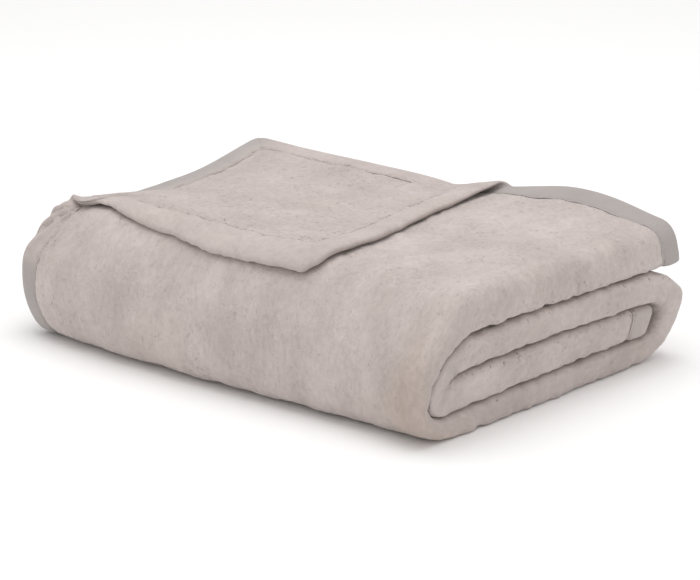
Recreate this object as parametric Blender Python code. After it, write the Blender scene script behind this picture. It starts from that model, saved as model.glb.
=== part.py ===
"""A raschel blanket, 60 by 90 inches, bound on all four edges and folded as it is sold.

The pile cloth and its four binding tapes are modelled flat, as they are cut and sewn. One function, fold(),
then takes every point of them through the steps in which hands fold the real blanket:

  1. turn_corner: one corner of the outermost ply is turned back over the rest.
  2. STRIP: the width is halved twice, which makes a strip of four plies.
  3. ROLL: the strip is rolled over three times into a flat spiral of four bands.
  4. settle: the stack takes up the uneven loft of soft cloth, and stays flat where it lies.

On the flat cloth u runs across, v along from its outer end, and n is the height above the cloth's middle.
The folded blanket has X along its width, Y from its rounded front to its back, and Z up. Metres throughout.
"""

from bisect import bisect
from itertools import pairwise
from math import cos, exp, hypot, pi, radians, sin, tanh

import bmesh
import bpy

# The finished flat size, the pile cloth, and the tape that binds its edges.
CLOTH_WIDTH = 2.286
CLOTH_LENGTH = 1.524
PILE_THICKNESS = 0.008
EDGE_THICKNESS = 0.0054
TAPE_WIDTH = 0.031
TAPE_THICKNESS = 0.0008
TAPE_FOLD_THICKNESS = 0.0018
SEWING_GAP = 0.0004
EDGE_INSET = 0.0032
PILE_SLOPE = 0.004

# Four plies make a strip, and four bands of the strip make the stack.
PLY_PITCH = 0.0092
STRIP_THICKNESS = 3 * PLY_PITCH + PILE_THICKNESS
BAND_PITCH = STRIP_THICKNESS + 0.002
STACK_HEIGHT = 3 * BAND_PITCH + STRIP_THICKNESS
FOLDED_WIDTH = 0.577
FOLDED_DEPTH = 0.408
LEFT_FOLD_INSET = 0.005
TOP_END_INSET = 0.003

# The corner that is turned back: how far from it the crease meets the back edge and the left edge.
CREASE_ON_BACK = 0.370
CREASE_ON_LEFT = 0.386
CREASE_RADIUS = 0.007
CORNER_SLOPE = radians(5)
CORNER_REST = PLY_PITCH + 0.0005

# How high the upper side of each band comes to rest, from the pressed bottom band to the lofty top one.
BAND_TOPS = (
    {"band": "bottom", "top": 0.0355},
    {"band": "third", "top": 0.078},
    {"band": "second", "top": 0.111},
    {"band": "top", "top": 0.155},
)

# The front fold: how square its lower and upper halves are (2 is round), the height at which they meet, and
# how far the middle of the blanket stands out before its ends, with the depth over which that fades.
FRONT_LOWER_SQUARENESS = 4.0
FRONT_UPPER_SQUARENESS = 1.9
FRONT_MIDDLE = BAND_TOPS[1]["top"]
FRONT_BELLY = 0.0115
BELLY_DEPTH = 0.30
BELLY_FADE = 1.5

# How high the floor's hold on the underside reaches.
FLOOR_GRIP = 0.03

# Where the loft lifts or sinks the top of the stack, each a rounded hill with its centre and its reach.
HILLS = (
    {"place": "left end", "height": -0.015, "at": (-0.02, 0.22), "reach": (0.17, 0.17)},
    {"place": "middle", "height": -0.008, "at": (0.27, 0.25), "reach": (0.20, 0.20)},
    {"place": "right back corner", "height": -0.009, "at": (0.60, 0.39), "reach": (0.17, 0.17)},
)

# Where the left end, from its top to its foot, and then the right end draw in, stand out or sag: the shift in
# X, Y and Z at the middle of each such place.
ENDS = (
    {"place": "left top", "shift": (0.015, 0, 0), "at": (0, 0.19, 0.15), "reach": (0.14, 0.13, 0.1)},
    {"place": "brow", "shift": (0.012, 0.008, -0.009), "at": (0, 0.03, 0.14), "reach": (0.07, 0.12, 0.04)},
    {"place": "left belly", "shift": (-0.009, 0.008, 0), "at": (0, 0.03, 0.07), "reach": (0.07, 0.12, 0.05)},
    {"place": "left foot", "shift": (0.014, 0.004, 0), "at": (0, 0.03, 0.01), "reach": (0.07, 0.12, 0.03)},
    {"place": "right foot", "shift": (-0.009, 0, 0), "at": (0.58, 0.15, 0), "reach": (0.1, 0.3, 0.05)},
    {"place": "roll", "shift": (-0.012, -0.042, -0.01), "at": (0.58, 0.07, 0.06), "reach": (0.1, 0.07, 0.05)},
    {"place": "bands", "shift": (0, 0, -0.005), "at": (0.58, 0.2, 0.06), "reach": (0.1, 0.3, 0.06)},
    {"place": "second band", "shift": (0.007, 0, 0), "at": (0.58, 0.34, 0.09), "reach": (0.1, 0.15, 0.03)},
    {"place": "back", "shift": (0.006, 0.006, -0.005), "at": (0.58, 0.4, 0.08), "reach": (0.1, 0.06, 0.05)},
)

# Facets in each straight run and in each fold.
PLY_STEPS = 4
OUTER_NOSE_STEPS = 5
INNER_NOSE_STEPS = 4
TOP_BAND_STEPS = 4
BAND_STEPS = 3
FRONT_FOLD_STEPS = 10
BACK_FOLD_STEPS = 6
INNER_FOLD_STEPS = 4
CREASE_STEPS = 7


class Route:
    """A faceted path of runs and turns in a plane, which carries a sheet at any height beside it."""

    def __init__(self, start, heading):
        self.distances = [0.0]
        self.marks = [(*start, heading)]

    def run(self, length, steps=1):
        """Goes straight on."""
        x, y, heading = self.marks[-1]
        begin = self.distances[-1]
        for i in range(1, steps + 1):
            along = length * i / steps
            self.distances.append(begin + along)
            self.marks.append((x + along * cos(heading), y + along * sin(heading), heading))

    def turn(self, radius, angle, steps):
        """Turns by the angle, to the left if it is positive."""
        x, y, heading = self.marks[-1]
        begin = self.distances[-1]
        side = radius if angle > 0 else -radius
        for i in range(1, steps + 1):
            new = heading + angle * i / steps
            self.distances.append(begin + radius * abs(angle) * i / steps)
            across = side * (sin(new) - sin(heading))
            up = side * (cos(heading) - cos(new))
            self.marks.append((x + across, y + up, new))

    def at(self, distance, height):
        """The point at this distance along the facets, and at this height to their left."""
        i = min(max(bisect(self.distances, distance) - 1, 0), len(self.marks) - 2)
        part = (distance - self.distances[i]) / (self.distances[i + 1] - self.distances[i])
        ends = []
        for x, y, heading in self.marks[i : i + 2]:
            ends.append((x - height * sin(heading), y + height * cos(heading)))
        (x0, y0), (x1, y1) = ends
        return x0 + (x1 - x0) * part, y0 + (y1 - y0) * part


def strip_route():
    """Across the strip: ply 1 is outermost, then come its fold, plies 4 and 3, their fold, and ply 2."""
    outer = 1.5 * PLY_PITCH
    inner = 0.5 * PLY_PITCH
    right = FOLDED_WIDTH - outer - PILE_THICKNESS / 2
    left = LEFT_FOLD_INSET + inner + PILE_THICKNESS / 2
    route = Route((0, outer), 0)
    route.run(right, PLY_STEPS)
    route.turn(outer, -pi, OUTER_NOSE_STEPS)
    route.run(right - left, PLY_STEPS)
    route.turn(inner, -pi, INNER_NOSE_STEPS)
    route.run(right - left, PLY_STEPS)
    route.turn(inner, pi, INNER_NOSE_STEPS)
    route.run(CLOTH_WIDTH - route.distances[-1], PLY_STEPS)
    return route


def roll_route():
    """Along the strip, in Y and Z: top band, front fold, bottom, back fold, second, inner fold, third."""
    low = STRIP_THICKNESS / 2
    front = 1.5 * BAND_PITCH + STRIP_THICKNESS / 2
    back = FOLDED_DEPTH - BAND_PITCH - STRIP_THICKNESS / 2
    end = FOLDED_DEPTH - TOP_END_INSET
    route = Route((end, low + 3 * BAND_PITCH), pi)
    route.run(end - front, TOP_BAND_STEPS)
    route.turn(1.5 * BAND_PITCH, pi, FRONT_FOLD_STEPS)
    route.run(back - front, BAND_STEPS)
    route.turn(BAND_PITCH, pi, BACK_FOLD_STEPS)
    route.run(back - front, BAND_STEPS)
    route.turn(0.5 * BAND_PITCH, pi, INNER_FOLD_STEPS)
    route.run(CLOTH_LENGTH - route.distances[-1], BAND_STEPS)
    return route


def crease_route():
    """Over the crease of the turned corner: round its roll, gently down, and flat on the ply."""
    descent = CREASE_RADIUS * (1 + cos(CORNER_SLOPE)) - CORNER_REST
    route = Route((0, 0), 0)
    route.turn(CREASE_RADIUS, pi + CORNER_SLOPE, CREASE_STEPS)
    route.run(descent / sin(CORNER_SLOPE))
    route.turn(CORNER_REST, -CORNER_SLOPE, 1)
    route.run(CREASE_ON_LEFT)
    return route


STRIP = strip_route()
ROLL = roll_route()
CREASE = crease_route()

# The crease's line on the flat cloth: its distance from the corner, and the direction square to it.
CREASE_SPAN = hypot(CREASE_ON_BACK, CREASE_ON_LEFT)
CREASE_DISTANCE = CREASE_ON_BACK * CREASE_ON_LEFT / CREASE_SPAN
CREASE_U = CREASE_ON_LEFT / CREASE_SPAN
CREASE_V = CREASE_ON_BACK / CREASE_SPAN


def turn_corner(u, v, n):
    """Rolls the corner at u = 0, v = 0 up over its crease and lays it down on the ply."""
    beyond = CREASE_DISTANCE - u * CREASE_U - v * CREASE_V
    if beyond <= 0:
        return u, v, n
    across = u * CREASE_V - v * CREASE_U
    beyond, n = CREASE.at(beyond, n)
    inward = CREASE_DISTANCE - beyond
    return inward * CREASE_U + across * CREASE_V, inward * CREASE_V - across * CREASE_U, n


def press(z):
    """The height to which the stack's own weight presses a point, band by band."""
    begin = rest = 0.0
    for band in BAND_TOPS:
        end = min(begin + BAND_PITCH, STACK_HEIGHT) if begin else STRIP_THICKNESS / 2 + BAND_PITCH / 2
        if z <= end:
            return rest + (band["top"] - rest) * (z - begin) / (end - begin)
        begin = end
        rest = band["top"]
    return rest + z - begin


def square_front(y, z):
    """Fills the round front fold out towards its corners, above and below its middle."""
    radius = 1.5 * BAND_PITCH + STRIP_THICKNESS / 2
    if y >= radius:
        return y, z
    out = (radius - y) / radius
    lower = z < FRONT_MIDDLE
    half = FRONT_MIDDLE if lower else BAND_TOPS[-1]["top"] - FRONT_MIDDLE
    up = abs(z - FRONT_MIDDLE) / half
    squareness = FRONT_LOWER_SQUARENESS if lower else FRONT_UPPER_SQUARENESS
    size = hypot(out, up)
    growth = ((out / size) ** squareness + (up / size) ** squareness) ** (-1 / squareness)
    return radius - (radius - y) * growth, FRONT_MIDDLE + (z - FRONT_MIDDLE) * growth


def bump(point, row):
    """1 at the centre of a rounded hill, and nearly 0 at twice its reach."""
    spans = zip(point, row["at"], row["reach"])
    return exp(-sum(((here - centre) / reach) ** 2 for here, centre, reach in spans))


def settle(x, y, z):
    """Gives the folded stack the uneven shape that soft cloth takes under its own weight."""
    y, z = square_front(y, press(z))
    end = (2 * x / FOLDED_WIDTH - 1) ** 2
    y += FRONT_BELLY * end * max(1 - y / BELLY_DEPTH, 0.0) ** BELLY_FADE
    lift = sum(row["height"] * bump((x, y), row) for row in HILLS)
    weights = [bump((x, y, z), row) for row in ENDS]
    shift = [sum(weight * row["shift"][axis] for weight, row in zip(weights, ENDS)) for axis in range(3)]
    z += lift * (z / STACK_HEIGHT) ** 2 + shift[2] * tanh(max(z, 0) / FLOOR_GRIP)
    return x + shift[0], y + shift[1], z


def fold(u, v, n):
    """Where a point of the flat, sewn blanket lies once it is folded."""
    u, v, n = turn_corner(u, v, n)
    x, height = STRIP.at(u, n)
    y, z = ROLL.at(v, -height)
    return settle(x, y, z)


def cut(mesh, direction, distance, keep=None):
    """Cuts a flat mesh along the line where u and v times the direction make the distance."""
    faces = [f for f in mesh.faces if keep is None or keep(f.calc_center_median())]
    edges = {e for f in faces for e in f.edges}
    verts = {v for f in faces for v in f.verts}
    normal = (direction[0], direction[1], 0)
    size = direction[0] ** 2 + direction[1] ** 2
    point = (direction[0] * distance / size, direction[1] * distance / size, 0)
    bmesh.ops.bisect_plane(mesh, geom=[*verts, *edges, *faces], dist=1e-6, plane_co=point, plane_no=normal)


def in_corner(point):
    return point.x * CREASE_U + point.y * CREASE_V < CREASE_DISTANCE


def cut_facets(mesh):
    """Cuts a flat piece wherever it will bend."""
    for u in STRIP.distances[1:-1]:
        cut(mesh, (1, 0), u)
    for v in ROLL.distances[1:-1]:
        cut(mesh, (0, 1), v)
    for inset in (TAPE_WIDTH + SEWING_GAP, TAPE_WIDTH + SEWING_GAP + PILE_SLOPE):
        for direction, size in (((1, 0), CLOTH_WIDTH), ((0, 1), CLOTH_LENGTH)):
            cut(mesh, direction, inset)
            cut(mesh, direction, size - inset)
    for beyond in CREASE.distances[:-1]:
        cut(mesh, (CREASE_U, CREASE_V), CREASE_DISTANCE - beyond)
    # The turned corner lies askew on the ply, so it has its own lines where it runs over the front fold.
    turned = (2 * CREASE_U * CREASE_V, CREASE_V**2 - CREASE_U**2)
    shortening = CREASE.distances[-1] + CREASE.marks[-1][0]
    for v in ROLL.distances:
        cut(mesh, turned, (2 * CREASE_DISTANCE - shortening) * CREASE_V - v, in_corner)


def split_alike(mesh):
    """Splits every facet along the same diagonal, so that a tape and the cloth below it stay parallel."""
    for face in list(mesh.faces):
        if len(face.verts) == 4:
            corners = sorted(face.verts, key=lambda vert: vert.co.x + vert.co.y)
            if not any(corners[0] in edge.verts and corners[3] in edge.verts for edge in face.edges):
                bmesh.utils.face_split(face, corners[0], corners[3])
    bmesh.ops.triangulate(mesh, faces=mesh.faces[:])


def make_object(name, mesh, material):
    """Folds a flat piece and puts it in the scene."""
    cut_facets(mesh)
    split_alike(mesh)
    for vert in mesh.verts:
        vert.co = fold(*vert.co)
    if mesh.calc_volume(signed=True) < 0:
        bmesh.ops.reverse_faces(mesh, faces=mesh.faces[:])
    data = bpy.data.meshes.new(name)
    mesh.to_mesh(data)
    mesh.free()
    data.materials.append(material)
    data.shade_smooth()
    made = bpy.data.objects.new(name, data)
    bpy.context.scene.collection.objects.link(made)
    return made


def make_material(name, colour, roughness, sheen):
    material = bpy.data.materials.new(name)
    material.use_nodes = True
    shader = material.node_tree.nodes["Principled BSDF"]
    shader.inputs["Base Color"].default_value = (*colour, 1)
    shader.inputs["Roughness"].default_value = roughness
    shader.inputs["Metallic"].default_value = 0
    shader.inputs["Sheen Weight"].default_value = sheen
    return material


def box(mesh, low, high):
    """A closed box in the flat mesh, between two corners."""
    made = bmesh.ops.create_cube(mesh, size=1)
    for vert in made["verts"]:
        for axis in range(3):
            vert.co[axis] = (low[axis] + high[axis]) / 2 + vert.co[axis] * (high[axis] - low[axis])


def pile_cloth():
    """The panel, full in its pile and pressed thin under the tapes."""
    mesh = bmesh.new()
    thin = EDGE_THICKNESS / 2
    far = (CLOTH_WIDTH - EDGE_INSET, CLOTH_LENGTH - EDGE_INSET, thin)
    box(mesh, (EDGE_INSET, EDGE_INSET, -thin), far)
    cut_facets(mesh)
    for vert in mesh.verts:
        u, v, n = vert.co
        from_tape = min(u, v, CLOTH_WIDTH - u, CLOTH_LENGTH - v) - TAPE_WIDTH - SEWING_GAP
        full = min(max(from_tape / PILE_SLOPE, 0.0), 1.0)
        vert.co.z = (1 if n > 0 else -1) * (thin + full * (PILE_THICKNESS / 2 - thin))
    return mesh


# The section of a tape: how far in from the edge, and how high, round its outside and back round its inside.
TAPE_TOP = EDGE_THICKNESS / 2 + SEWING_GAP + TAPE_THICKNESS
TAPE_UNDER = EDGE_THICKNESS / 2 + SEWING_GAP
TAPE_CORNER = 0.0015
TAPE_SECTION = (
    (TAPE_WIDTH, TAPE_TOP),
    (TAPE_CORNER, TAPE_TOP),
    (0, TAPE_TOP - TAPE_CORNER),
    (0, TAPE_CORNER - TAPE_TOP),
    (TAPE_CORNER, -TAPE_TOP),
    (TAPE_WIDTH, -TAPE_TOP),
    (TAPE_WIDTH, -TAPE_UNDER),
    (TAPE_FOLD_THICKNESS, -TAPE_UNDER),
    (TAPE_FOLD_THICKNESS, TAPE_UNDER),
    (TAPE_WIDTH, TAPE_UNDER),
)


def tape(length, place):
    """A tape folded over an edge of this length, mitred at both ends. place() turns it to its own edge."""
    mesh = bmesh.new()
    rings = []
    for end in (0, 1):
        ring = []
        for inset, height in TAPE_SECTION:
            mitre = inset + SEWING_GAP
            along = length - mitre if end else mitre
            ring.append(mesh.verts.new((*place(inset, along), height)))
        rings.append(ring)
    first, last = rings
    for i, j in pairwise([*range(len(TAPE_SECTION)), 0]):
        mesh.faces.new((first[i], first[j], last[j], last[i]))
    mesh.faces.new(first[::-1])
    mesh.faces.new(last)
    return mesh


def clear_scene():
    for old in list(bpy.data.objects):
        bpy.data.objects.remove(old)


def stand(objects):
    """Moves the blanket so that the middle of its underside is the origin."""
    points = [vert.co for made in objects for vert in made.data.vertices]
    low = [min(point[axis] for point in points) for axis in range(3)]
    high = [max(point[axis] for point in points) for axis in range(3)]
    for made in objects:
        made.location = (-(low[0] + high[0]) / 2, -(low[1] + high[1]) / 2, -low[2])


clear_scene()
plush = make_material("pile", (0.62, 0.56, 0.53), 0.95, 0.4)
satin = make_material("tape", (0.52, 0.48, 0.45), 0.75, 0.1)
left = tape(CLOTH_LENGTH, lambda inset, along: (inset, along))
right = tape(CLOTH_LENGTH, lambda inset, along: (CLOTH_WIDTH - inset, along))
top = tape(CLOTH_WIDTH, lambda inset, along: (along, inset))
bottom = tape(CLOTH_WIDTH, lambda inset, along: (along, CLOTH_LENGTH - inset))
parts = [
    make_object("pile_cloth", pile_cloth(), plush),
    make_object("binding_left", left, satin),
    make_object("binding_right", right, satin),
    make_object("binding_top", top, satin),
    make_object("binding_bottom", bottom, satin),
]
stand(parts)
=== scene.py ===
"""The looks of a raschel blanket, 60 by 90 inches, bound on all four edges and folded as it is sold.

The blanket is followed as it is made: the pile cloth is knitted, brushed and folded, then the tapes that bind
its edges, then the stitching that holds them. Metres throughout, with X along the folded width, Y from the
rounded front fold to the back, and Z up.
"""

from math import cos, hypot, pi, radians, sin

import bmesh
import bpy
import numpy as np
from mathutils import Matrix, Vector


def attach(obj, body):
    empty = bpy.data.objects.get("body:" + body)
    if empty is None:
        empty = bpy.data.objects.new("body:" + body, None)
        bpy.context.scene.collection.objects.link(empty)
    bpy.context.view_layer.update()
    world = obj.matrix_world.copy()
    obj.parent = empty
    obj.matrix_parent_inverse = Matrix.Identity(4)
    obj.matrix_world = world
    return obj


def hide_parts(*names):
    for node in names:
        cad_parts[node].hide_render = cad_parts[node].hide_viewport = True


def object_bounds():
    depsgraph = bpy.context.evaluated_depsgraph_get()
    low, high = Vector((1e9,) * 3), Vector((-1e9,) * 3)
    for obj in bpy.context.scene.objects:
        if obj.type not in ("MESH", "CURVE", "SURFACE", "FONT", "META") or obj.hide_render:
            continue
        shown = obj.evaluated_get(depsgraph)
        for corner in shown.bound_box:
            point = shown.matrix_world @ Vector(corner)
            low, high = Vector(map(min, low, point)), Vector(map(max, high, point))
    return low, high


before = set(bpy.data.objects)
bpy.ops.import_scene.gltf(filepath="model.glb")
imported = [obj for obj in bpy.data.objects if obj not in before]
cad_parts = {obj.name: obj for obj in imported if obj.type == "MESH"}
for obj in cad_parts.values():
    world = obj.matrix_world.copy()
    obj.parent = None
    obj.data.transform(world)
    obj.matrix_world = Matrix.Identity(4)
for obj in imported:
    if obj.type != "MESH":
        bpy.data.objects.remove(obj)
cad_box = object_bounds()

# ---------------------------------------------------------------------------------------------------------
# The pile cloth: one panel of raschel plush, warp-knitted, with pile on both faces. It is folded in four
# across its width, rolled over into four bands, and one corner of its outermost ply is turned back. Here are
# the folds, which every other piece goes through too, and then the panel's own pile, creases and colour.
# ---------------------------------------------------------------------------------------------------------
CLOTH_WIDTH = 2.286
CLOTH_LENGTH = 1.524
PILE_THICKNESS = 0.008
EDGE_THICKNESS = 0.0054
TAPE_WIDTH = 0.031

PLY_PITCH = 0.0092
OUTER_TURN = 1.5 * PLY_PITCH
INNER_TURN = 0.5 * PLY_PITCH
STRIP_THICKNESS = 3 * PLY_PITCH + PILE_THICKNESS
STRIP_HALF = STRIP_THICKNESS / 2
BAND_CLEARANCE = 0.002
BAND_PITCH = STRIP_THICKNESS + BAND_CLEARANCE
STACK_HEIGHT = 3 * BAND_PITCH + STRIP_THICKNESS
FOLDED_WIDTH = 0.577
FOLDED_DEPTH = 0.408
LEFT_FOLD_INSET = 0.005
TOP_END_INSET = 0.003

CREASE_ON_BACK = 0.370
CREASE_ON_LEFT = 0.386
CREASE_RADIUS = 0.007
CREASE_BEND = 0.034
CREASE_BEND_AT = 0.042
CREASE_BEND_RUN = 0.006
CORNER_SLOPE = radians(5)
CORNER_REST = 0.0086
CORNER_ROUNDING = 0.016
CORNER_FREE_RUN = 0.03


class Route:
    """A path of straight runs and round turns in a plane, which carries a sheet at any height beside it."""

    def __init__(self, start, heading):
        self.legs = [(0.0, *start, heading, 0.0)]
        self.length = 0.0

    @property
    def heading(self):
        begin, _, _, heading, bend = self.legs[-1]
        return heading + bend * (self.length - begin)

    def run(self, length, bend=0.0):
        """Goes on by this length, straight or at this bend."""
        x, y = self.at(np.array([self.length]), 0.0)
        heading = self.heading
        self.legs.append((self.length, x[0], y[0], heading, bend))
        self.length += length

    def turn(self, radius, angle):
        """Goes on round this radius, to the left for a positive angle."""
        self.run(radius * abs(angle), (1 if angle > 0 else -1) / radius)

    def at(self, distance, height):
        """The points at these distances along the path, and at these heights to its left."""
        legs = np.array(self.legs)
        leg = np.clip(np.searchsorted(legs[:, 0], distance, side="right") - 1, 0, None)
        begin, x, y, heading, bend = legs[leg].T
        along = distance - begin
        half = bend * along / 2
        chord = along * np.sinc(half / pi)
        now = heading + 2 * half
        x = x + chord * np.cos(heading + half) - height * np.sin(now)
        y = y + chord * np.sin(heading + half) + height * np.cos(now)
        return x, y


# Across the strip: ply 1 is outermost, then come its fold, plies 4 and 3, their fold, and ply 2.
ply_right = FOLDED_WIDTH - OUTER_TURN - PILE_THICKNESS / 2
ply_left = LEFT_FOLD_INSET + INNER_TURN + PILE_THICKNESS / 2
STRIP = Route((0, OUTER_TURN), 0)
STRIP.run(ply_right)
NOSE_START = STRIP.length
STRIP.turn(OUTER_TURN, -pi)
NOSE_END = STRIP.length
STRIP.run(ply_right - ply_left)
LEFT_FOLD_START = STRIP.length
STRIP.turn(INNER_TURN, -pi)
LEFT_FOLD_END = STRIP.length
STRIP.run(ply_right - ply_left)
INNER_NOSE_START = STRIP.length
STRIP.turn(INNER_TURN, pi)
INNER_NOSE_END = STRIP.length
STRIP.run(CLOTH_WIDTH - STRIP.length)

# Along the strip, in Y and Z: top band, front fold, bottom, back fold, second, inner fold, third.
FRONT_TURN_Y = 1.5 * BAND_PITCH + STRIP_HALF
BACK_TURN_Y = FOLDED_DEPTH - BAND_PITCH - STRIP_HALF
ROLL = Route((FOLDED_DEPTH - TOP_END_INSET, STRIP_HALF + 3 * BAND_PITCH), pi)
ROLL.run(FOLDED_DEPTH - TOP_END_INSET - FRONT_TURN_Y)
FRONT_START = ROLL.length
ROLL.turn(1.5 * BAND_PITCH, pi)
FRONT_END = ROLL.length
ROLL.run(BACK_TURN_Y - FRONT_TURN_Y)
BACK_START = ROLL.length
ROLL.turn(BAND_PITCH, pi)
BACK_END = ROLL.length
ROLL.run(BACK_TURN_Y - FRONT_TURN_Y)
INNER_START = ROLL.length
ROLL.turn(0.5 * BAND_PITCH, pi)
INNER_END = ROLL.length
ROLL.run(CLOTH_LENGTH - ROLL.length)

# Over the crease of the turned corner: round its roll, gently down, and flat on the ply.
CREASE = Route((0, 0), 0)
CREASE.turn(CREASE_RADIUS, pi + CORNER_SLOPE)
CREASE.run((CREASE_RADIUS * (1 + cos(CORNER_SLOPE)) - CORNER_REST) / sin(CORNER_SLOPE))
CREASE.turn(CORNER_REST, -CORNER_SLOPE)
CREASE.run(CREASE_ON_LEFT)
CREASE_SPAN = hypot(CREASE_ON_BACK, CREASE_ON_LEFT)
CREASE_DISTANCE = CREASE_ON_BACK * CREASE_ON_LEFT / CREASE_SPAN
CREASE_U = CREASE_ON_LEFT / CREASE_SPAN
CREASE_V = CREASE_ON_BACK / CREASE_SPAN

# The weight of the stack: the floor, the gaps between bands and the top as they are in the loose stack, and
# the heights at which they come to rest.
BEYOND = 0.05
band_gaps = [STRIP_HALF + (i + 0.5) * BAND_PITCH for i in range(3)]
LOOSE = np.array([-BEYOND, 0, *band_gaps, STACK_HEIGHT, STACK_HEIGHT + BEYOND])
PRESSED_TOP = 0.155
FRONT_MIDDLE = 0.078
PRESSED = np.array([-BEYOND, 0, 0.0355, FRONT_MIDDLE, 0.111, PRESSED_TOP, PRESSED_TOP + BEYOND])
FRONT_LOWER_SQUARENESS = 4.0
FRONT_UPPER_SQUARENESS = 1.9
FRONT_BELLY = 0.0115
BELLY_DEPTH = 0.30
BELLY_FADE = 1.5
NOSE_SQUARENESS = 5.0
NOSE_OPENING_RUN = 0.05

# Where the loft lifts or sinks the top of the stack, in X and Y.
HILLS = {
    "left end": {"height": -0.015, "at": (-0.02, 0.22), "reach": (0.17, 0.17)},
    "middle": {"height": -0.008, "at": (0.27, 0.25), "reach": (0.20, 0.20)},
    "right back corner": {"height": -0.009, "at": (0.60, 0.39), "reach": (0.17, 0.17)},
    "back, under the crease": {"height": -0.006, "at": (0.32, 0.41), "reach": (0.05, 0.12)},
    "back, beside the crease": {"height": 0.0115, "at": (0.475, 0.41), "reach": (0.075, 0.10)},
    "left edge of the second ply": {"height": -0.004, "at": (0.0, 0.30), "reach": (0.06, 0.06)},
    "left back corner": {"height": 0.0025, "at": (0.0, 0.41), "reach": (0.05, 0.04)},
}

# Where the left end, from its top to its foot, and then the right end draw in, stand out or sag: the shift in
# X, Y and Z at the middle of each such place.
ENDS = {
    "left top": {"shift": (0.015, 0, 0), "at": (0, 0.19, 0.15), "reach": (0.14, 0.13, 0.1)},
    "brow": {"shift": (0.012, 0.008, -0.009), "at": (0, 0.03, 0.14), "reach": (0.07, 0.12, 0.04)},
    "left shoulder": {"shift": (-0.011, -0.002, 0.007), "at": (0, 0.075, 0.125), "reach": (0.06, 0.05, 0.03)},
    "left belly": {"shift": (-0.009, 0.008, 0), "at": (0, 0.03, 0.07), "reach": (0.07, 0.12, 0.05)},
    "left foot": {"shift": (0.009, 0.003, 0), "at": (0, 0.03, 0.01), "reach": (0.07, 0.12, 0.03)},
    "left side": {"shift": (-0.010, 0, 0), "at": (0, 0, 0.07), "reach": (0.16, 0.08, 0.06)},
    "left edge, curled back": {"shift": (0, 0.0115, 0), "at": (-0.01, 0, 0.07), "reach": (0.03, 0.09, 0.06)},
    "right foot": {"shift": (-0.009, 0, 0), "at": (0.58, 0.15, 0), "reach": (0.1, 0.3, 0.05)},
    "roll": {"shift": (-0.012, -0.042, -0.01), "at": (0.58, 0.07, 0.06), "reach": (0.1, 0.07, 0.05)},
    "bands": {"shift": (0, 0, -0.005), "at": (0.58, 0.2, 0.06), "reach": (0.1, 0.3, 0.06)},
    "second band": {"shift": (0.007, 0, 0), "at": (0.58, 0.34, 0.09), "reach": (0.1, 0.15, 0.03)},
    "back": {"shift": (0.006, 0.006, -0.005), "at": (0.58, 0.4, 0.08), "reach": (0.1, 0.06, 0.05)},
}
FLOOR_GRIP = 0.03
FOOT_SOFTNESS = 0.0006

# Where the roll of the crease is pressed flat, in the flat cloth's u and v, and how much of it.
FLATTENED = {
    "back end": {"share": 0.45, "at": (CREASE_ON_BACK, 0), "reach": (0.09, 0.09)},
    "left end": {"share": 0.8, "at": (0, CREASE_ON_LEFT - CREASE_BEND), "reach": (0.04, 0.06)},
}

# How the turned corner lies on the ply: where it is drawn aside or puffs up, away from its crease.
CORNER_LIE = {
    "beside the left edge": {"shift": (0, -0.022, 0), "at": (0.07, 0.367), "reach": (0.06, 0.05)},
    "left front edge": {"shift": (0, -0.004, 0), "at": (0.16, 0.365), "reach": (0.06, 0.05)},
    "right front edge": {"shift": (0, 0.007, 0), "at": (0.275, 0.365), "reach": (0.05, 0.05)},
    "tip": {"shift": (0.010, 0.010, 0.002), "at": (0.365, 0.355), "reach": (0.06, 0.06)},
    "edge beyond the tip": {"shift": (0.024, 0, 0.001), "at": (0.37, 0.27), "reach": (0.10, 0.10)},
}
CORNER_WAVES = (
    {"height": 0.0006, "length": 0.04, "seed": 31, "count": 12},
    {"height": 0.0004, "length": 0.013, "seed": 32, "count": 12},
)

# The pleats that gather the ply at the foot of the crease: creases at three angles in a fan of cloth.
PLEAT_ROOT = (0.038, 0.340)
PLEAT_ANGLES = radians(20), radians(36), radians(52)
PLEAT_WIDTH = radians(4.6)
PLEAT_HEIGHT = 0.007
PLEAT_START = 0.010
PLEAT_RISE = 0.02
PLEAT_END = 0.05
PLEAT_FADE = 0.03
FAN_ANGLE = radians(39)
FAN_WIDTH = radians(24)


SHORTEST_WAVE = 0.7
LONGEST_WAVE = 1.5


def ripple(u, v, wavelength, seed, count=24):
    """An even random field about 1 high, whose waves run every way and are about one wavelength long."""
    random = np.random.default_rng(seed)
    total = np.zeros(np.shape(u))
    for _ in range(count):
        angle, phase = random.uniform(0, 2 * pi, 2)
        rate = 2 * pi / (wavelength * random.uniform(SHORTEST_WAVE, LONGEST_WAVE))
        total = total + np.sin(rate * (u * cos(angle) + v * sin(angle)) + phase)
    return total / np.sqrt(count / 2)


def ripples(u, v, waves):
    """Random fields laid over one another, each with its own height and wavelength."""
    return sum(row["height"] * ripple(u, v, row["length"], row["seed"], row["count"]) for row in waves)


def hill(point, row):
    """1 at the centre of a rounded hill, and nearly 0 at twice its reach."""
    spans = zip(point, row["at"], row["reach"])
    return np.exp(-sum(((here - centre) / reach) ** 2 for here, centre, reach in spans))


def lifted_by(point, hills):
    """How high rounded hills lift a point."""
    return sum(row["height"] * hill(point, row) for row in hills.values())


def shifted_by(point, places, share=1):
    """How far a point is moved along each axis by the places it is near."""
    weights = [share * hill(point, row) for row in places.values()]
    shifts = [row["shift"] for row in places.values()]
    return [sum(weight * shift[axis] for weight, shift in zip(weights, shifts)) for axis in range(3)]


def eased(value):
    """Rises from 0 to 1 with the value, with a soft start and a soft end."""
    value = np.clip(value, 0, 1)
    return value * value * (3 - 2 * value)


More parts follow.
